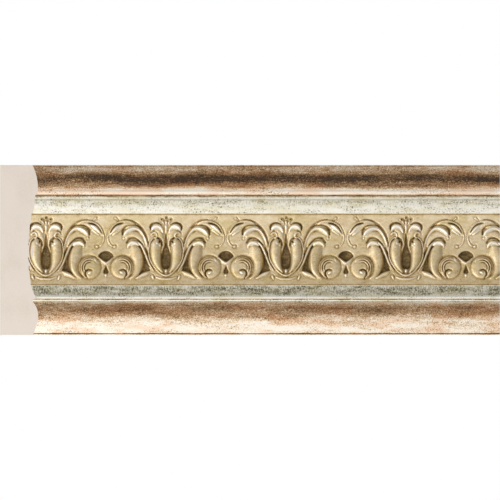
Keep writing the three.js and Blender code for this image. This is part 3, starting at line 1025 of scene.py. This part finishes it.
@dataclass
class RepeatTree:
    """The node tree that runs a tile and its mirror image along the moulding."""

    weld: float = 0.002
    inputs: dict[str, str] = field(default_factory=dict)

    def build(self, materials: list[bpy.types.Material]) -> bpy.types.NodeTree:
        """Builds the tree.

        Args:
            materials: The materials, in the order of the leaves' values.

        Returns:
            The tree. The identifiers of its inputs are kept by name.
        """
        group = bpy.data.node_groups.new("run of repeats", "GeometryNodeTree")
        for name, kind in (("Tile", "Geometry"), ("Repeats", "Int"), ("Repeat", "Float"),
                           ("First", "Float"), ("Weld", "Float")):
            socket = group.interface.new_socket(
                name=name, in_out="INPUT", socket_type="NodeSocket" + kind)
            self.inputs[name] = socket.identifier
        group.interface.new_socket(name="Run", in_out="OUTPUT", socket_type="NodeSocketGeometry")
        tree = Tree(group)
        given = tree.add("NodeGroupInput").outputs
        start, stride = (tree.add("ShaderNodeCombineXYZ", {"X": given[n]}) for n in ("First", "Repeat"))
        line = tree.add("GeometryNodeMeshLine", {
            "Count": given["Repeats"], "Start Location": start.outputs[0], "Offset": stride.outputs[0]},
            mode="OFFSET")
        joined = tree.add("GeometryNodeJoinGeometry")
        for side in (1.0, -1.0):
            half = tree.add("GeometryNodeInstanceOnPoints", {
                "Points": line.outputs[0], "Instance": given["Tile"], "Scale": (side, 1.0, 1.0)})
            group.links.new(half.outputs[0], joined.inputs[0])
        plain = tree.add("GeometryNodeRealizeInstances", {"Geometry": joined.outputs[0]})
        last = tree.add("GeometryNodeMergeByDistance", {
            "Geometry": plain.outputs[0], "Distance": given["Weld"]})
        leaf = tree.add("GeometryNodeInputNamedAttribute", {"Name": "leaf"}, data_type="INT")
        for place, material in enumerate(materials):
            worn = tree.add("FunctionNodeCompare", {"A_INT": leaf.outputs[0], "B_INT": place},
                            data_type="INT", operation="EQUAL")
            last = tree.add("GeometryNodeSetMaterial", {
                "Geometry": last.outputs[0], "Selection": worn.outputs[0], "Material": material})
        tree.add("NodeGroupOutput", {0: last.outputs[0]})
        return group


def read(data: bpy.types.bpy_prop_collection, name: str, width: int = 1,
         kind: type = float) -> np.ndarray:
    """Reads one property of a mesh's points, corners or faces.

    Args:
        data: The points, corners or faces.
        name: The property.
        width: How many numbers it has.
        kind: What the numbers are.

    Returns:
        The numbers, in a row for each of the property's own where it has more than one.
    """
    values = np.empty(len(data) * width, kind)
    data.foreach_get(name, values)
    return values if width == 1 else values.reshape(-1, width).T


def put_in_scene(name: str, data: bpy.types.ID) -> bpy.types.Object:
    """Makes an object of some data and puts it in the scene."""
    made = bpy.data.objects.new(name, data)
    bpy.context.scene.collection.objects.link(made)
    return made


@dataclass
class Sheet:
    """A square sheet on which the faces are laid out flat, in millimetres, to be baked."""

    mesh: bpy.types.Mesh
    side: float
    gap: float = 1.0
    places: np.ndarray = field(init=False)
    corners: np.ndarray = field(init=False)
    loop_faces: np.ndarray = field(init=False)

    def __post_init__(self) -> None:
        """Reads which point and which face each of the mesh's corners has."""
        totals = read(self.mesh.polygons, "loop_total", kind=int)
        self.loop_faces = np.repeat(np.arange(len(totals)), totals)
        self.corners = read(self.mesh.loops, "vertex_index", kind=int)
        self.places = np.zeros((len(self.corners), 2))

    def lay(self, faces: np.ndarray, across: np.ndarray, along: np.ndarray, corner: Point,
            scale: float = 1.0) -> float:
        """Lays some faces on the sheet.

        Args:
            faces: Which faces, as a mask.
            across: Each point's place across the sheet, in millimetres.
            along: Each point's place up the sheet.
            corner: Where the lowest point of the faces goes.
            scale: How large they are laid.

        Returns:
            How far up the sheet they take, with a gap.
        """
        chosen = faces[self.loop_faces]
        flat = np.stack([across, along], axis=1)[self.corners[chosen]]
        flat = (flat - flat.min(axis=0)) * scale
        self.places[chosen] = flat + np.array(corner) + self.gap
        return flat[:, 1].max() + self.gap

    def finish(self, name: str) -> None:
        """Writes the layout to the mesh as a map."""
        layer = self.mesh.uv_layers.new(name=name)
        layer.data.foreach_set("uv", (self.places / self.side).ravel())


@dataclass
class Moulding:
    """The whole length: its section, its carving and its two ends."""

    section: Section
    ornament: Ornament
    repeat: float = 60.0
    first_tulip: float = 23.0
    mitre_degrees: float = 45.0
    smallest_corner: float = 14.0
    square_on: float = 0.9
    cut_snap: float = 1e-8

    def _cut(self, mesh: bmesh.types.BMesh, place: Vector, outward: Vector, core: int) -> None:
        """Cuts an end off flat and closes it with one face of bare core.

        Args:
            mesh: The mesh to cut.
            place: A point of the cut.
            outward: The way that the end faces.
            core: The core's material slot.
        """
        geometry = [*mesh.verts, *mesh.edges, *mesh.faces]
        cut = bmesh.ops.bisect_plane(mesh, geom=geometry, plane_co=place, plane_no=outward,
                                     clear_outer=True, dist=self.cut_snap)
        edges = [e for e in cut["geom_cut"] if isinstance(e, bmesh.types.BMEdge)]
        made = bmesh.ops.edgeloop_fill(mesh, edges=edges, mat_nr=core)
        member = mesh.faces.layers.int["member"]
        for face in made["faces"]:
            face[member] = END_FACES
            face.smooth = False

    def _run(self, tile: bpy.types.Mesh, materials: list[bpy.types.Material]) -> bpy.types.Mesh:
        """Runs the tile along the moulding.

        Args:
            tile: The tile's mesh.
            materials: The materials, in the order of the leaves' values.

        Returns:
            The run as a plain mesh.
        """
        low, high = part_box(NODE)
        tulips = math.ceil((high.x - low.x) / (self.repeat * MM)) + 1
        holder = put_in_scene("tile", tile)
        tree = RepeatTree()
        modifier = holder.modifiers.new("run", "NODES")
        modifier.node_group = tree.build(materials)
        given = {"Repeats": tulips, "Repeat": self.repeat * MM, "First": low.x + self.first_tulip * MM,
                 "Weld": tree.weld * MM}
        for name, value in given.items():
            modifier[tree.inputs[name]] = value
        ready = bpy.context.evaluated_depsgraph_get()
        run = bpy.data.meshes.new_from_object(holder.evaluated_get(ready), depsgraph=ready)
        holder.modifiers.remove(modifier)
        bpy.data.objects.remove(holder)
        return run

    def _stop_carving(self, run: bpy.types.Mesh) -> None:
        """Levels the carving past the mitre's line, so that no pocket opens into the cut face.

        Args:
            run: The mesh of the run.
        """
        low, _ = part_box(NODE)
        frieze = self.section.members.index(self.section.frieze)
        member = run.attributes["member"].data
        for number in {v for f in run.polygons if member[f.index].value == frieze for v in f.vertices}:
            place = run.vertices[number].co
            ground = float(self.section.ground_depth(place.z / MM)) * MM
            if place.x - low.x < ground / math.tan(math.radians(self.mitre_degrees)):
                place.y = -ground

    def _finish_ends(self, run: bpy.types.Mesh) -> None:
        """Cuts both ends, turns all faces outwards and marks the sharp corners.

        Args:
            run: The mesh of the run.
        """
        low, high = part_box(NODE)
        mesh = bmesh.new()
        mesh.from_mesh(run)
        lean = math.radians(self.mitre_degrees)
        core = run.materials.find("pale_core")
        self._cut(mesh, Vector((low.x, 0, 0)), Vector((-math.cos(lean), -math.sin(lean), 0)), core)
        self._cut(mesh, Vector((high.x, 0, 0)), Vector((1, 0, 0)), core)
        bmesh.ops.recalc_face_normals(mesh, faces=mesh.faces)
        member = mesh.faces.layers.int["member"]
        corner = math.radians(self.smallest_corner)
        for edge in mesh.edges:
            one, other = edge.link_faces
            edge.smooth = one[member] == other[member] or edge.calc_face_angle() < corner
        mesh.to_mesh(run)
        mesh.free()

    def _lay_out(self, run: bpy.types.Mesh) -> None:
        """Lays the front out in two lanes on a sheet, with the back, edges and ends beside them.

        Args:
            run: The finished mesh.
        """
        low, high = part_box(NODE)
        left, right = low.x / MM, high.x / MM
        x, y, z = read(run.vertices, "co", 3) / MM
        outward = read(run.polygons, "normal", 3)
        middle = read(run.polygons, "center", 3)[0] / MM
        member = read(run.attributes["member"].data, "value", kind=int)
        front = [r for r in self.section.rows()[1:] if r.member >= 0 or r.depth > 0]
        pairs = zip(front, front[1:], strict=False)
        steps = [math.hypot(b.depth - a.depth, b.z - a.z) for a, b in pairs]
        arcs = np.concatenate([[0.0], np.cumsum(steps)])
        unrolled = np.interp(-z, [-r.z for r in front], arcs)
        half, start = self.repeat / 2, left + self.first_tulip
        split = start + half * round(((left + right) / 2 - start) / half)
        sheet = Sheet(run, 2 * arcs[-1] + 3 * Sheet.gap)
        sheet.lay((member >= 0) & (middle < split), x, -unrolled, (0, 0))
        sheet.lay((member >= 0) & (middle > split), x, -unrolled, (0, arcs[-1] + Sheet.gap))
        width = max(split - left, right - split) + Sheet.gap
        room = sheet.side - width - 2 * Sheet.gap
        scale, thin = room / self.section.height, room / (right - left)
        core, end = member == CORE_FACES, member == END_FACES
        up = 0.0
        for faces, across, along, size in ((core & (outward[1] > self.square_on), z, x, scale),
                                           (end & (outward[0] < 0), z, y, scale),
                                           (end & (outward[0] > 0), z, -y, scale),
                                           (core & (outward[2] > self.square_on), x, y, thin),
                                           (core & (outward[2] < -self.square_on), x, -y, thin)):
            up += sheet.lay(faces, across, along, (width, up), size)
        log.info("sheet: %.1f mm square, strip filled to %.1f mm", sheet.side, up)
        sheet.finish("OFBake")

    def build(self, materials: list[bpy.types.Material]) -> bpy.types.Object:
        """Builds the moulding.

        Args:
            materials: The materials, in the order of the leaves' values.

        Returns:
            The finished piece.
        """
        tile = Tile(self.section, self.repeat / 2).mesh(self.ornament.carved())
        run = self._run(tile, materials)
        run.shade_smooth()
        self._stop_carving(run)
        self._finish_ends(run)
        low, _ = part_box(NODE)
        deepest = -min(v.co.y for v in run.vertices)
        for vertex in run.vertices:
            vertex.co.y *= -low.y / deepest
        self._lay_out(run)
        log.info("moulding: %d faces", len(run.polygons))
        return put_in_scene("gilded_moulding", run)


@dataclass(frozen=True)
class Lamp:
    """A square light: its direction from the moulding, distance, size in metres and power."""

    name: str
    toward: Point
    distance: float
    size: float
    watts: float


@dataclass
class Studio:
    """A straight-on camera, a low soft key light, weaker lights, a white background and a pale floor."""

    distance: float = 1.2
    floor_drop: float = 1.2
    floor_half: float = 1.5
    lamps: tuple[Lamp, ...] = (
        Lamp("key", (-0.66, -0.57, -0.5), 1.0, 0.9, 5.7),
        Lamp("bounce", (-0.1, -0.72, -0.7), 1.1, 1.0, 1.6),
        Lamp("rear", (0.75, 0.6, 0.25), 1.2, 1.0, 3.0),
    )
    glow: tuple[tuple[float, float], ...] = ((0.0, 0.66), (0.5, 0.66), (0.64, 0.54), (1.0, 0.42))
    glow_left: float = 0.55

    def _light(self, lamp: Lamp) -> None:
        """Adds a square light that faces the origin.

        Args:
            lamp: The light.
        """
        data = bpy.data.lights.new(lamp.name, "AREA")
        data.shape = "SQUARE"
        data.size = lamp.size
        data.energy = lamp.watts
        place = Vector(lamp.toward).normalized() * lamp.distance
        light = put_in_scene(lamp.name, data)
        light.location = place
        light.rotation_euler = (-place).to_track_quat("-Z", "Y").to_euler()

    def _camera(self) -> None:
        """Adds a camera without perspective that is as wide as the moulding is long."""
        low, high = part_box(NODE)
        data = bpy.data.cameras.new("camera")
        data.type = "ORTHO"
        data.ortho_scale = high.x - low.x
        camera = put_in_scene("camera", data)
        camera.location = ((low.x + high.x) / 2, -self.distance, (low.z + high.z) / 2)
        camera.rotation_euler = (math.pi / 2, 0, 0)
        bpy.context.scene.camera = camera

    def _world(self) -> None:
        """Makes the background white, and its light on the moulding stronger from below and the left."""
        world = bpy.data.worlds.new("studio")
        bpy.context.scene.world = world
        world.use_nodes = True
        tree = Tree(world.node_tree)
        seen = Value(tree, tree.add("ShaderNodeLightPath").outputs["Is Camera Ray"])
        toward = tree.add("ShaderNodeTexCoord").outputs["Generated"]
        parts = tree.add("ShaderNodeSeparateXYZ", {0: toward}).outputs
        left, height = Value(tree, parts[0]) * -self.glow_left, Value(tree, parts[2])
        stops = tuple((place, (glow, glow, glow, 1.0)) for place, glow in self.glow)
        glow = tree.add("ShaderNodeValToRGB", {"Fac": height * 0.5 + 0.5}, stops=stops)
        falls = Value(tree, glow.outputs[0]) * (left + 1)
        light = tree.add("ShaderNodeBackground", {
            "Color": (1.0, 1.0, 1.0, 1.0), "Strength": seen + falls * (1 - seen)})
        tree.add("ShaderNodeOutputWorld", {"Surface": light.outputs[0]})

    def _floor(self) -> None:
        """Lays a pale floor some way below the moulding."""
        low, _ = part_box(NODE)
        mesh = bpy.data.meshes.new("floor")
        half, z = self.floor_half, low.z - self.floor_drop
        mesh.from_pydata([(-half, -half, z), (half, -half, z), (half, half, z), (-half, half, z)], [],
                         [(0, 1, 2, 3)])
        mesh.materials.append(Surface("pale_floor").finished({
            "Base Color": paint("eeece8"), "Roughness": 0.9}))
        put_in_scene("floor", mesh)

    def build(self) -> None:
        """Sets up the whole studio."""
        bpy.context.scene.view_settings.view_transform = "Standard"
        self._camera()
        self._world()
        for lamp in self.lamps:
            self._light(lamp)
        self._floor()


def main() -> None:
    """Builds the moulding and the studio."""
    logging.basicConfig(level=logging.INFO, format="%(name)s: %(message)s")
    finishes = [BRONZE_LEAF, SILVER_LEAF, GOLD_LEAF, PaleCore("pale_core")]
    materials = [finish.material() for finish in finishes]
    piece = Moulding(Section(), Ornament()).build(materials)
    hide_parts(NODE)
    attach(piece, "root")
    Studio().build()


if __name__ == "__main__":
    main()
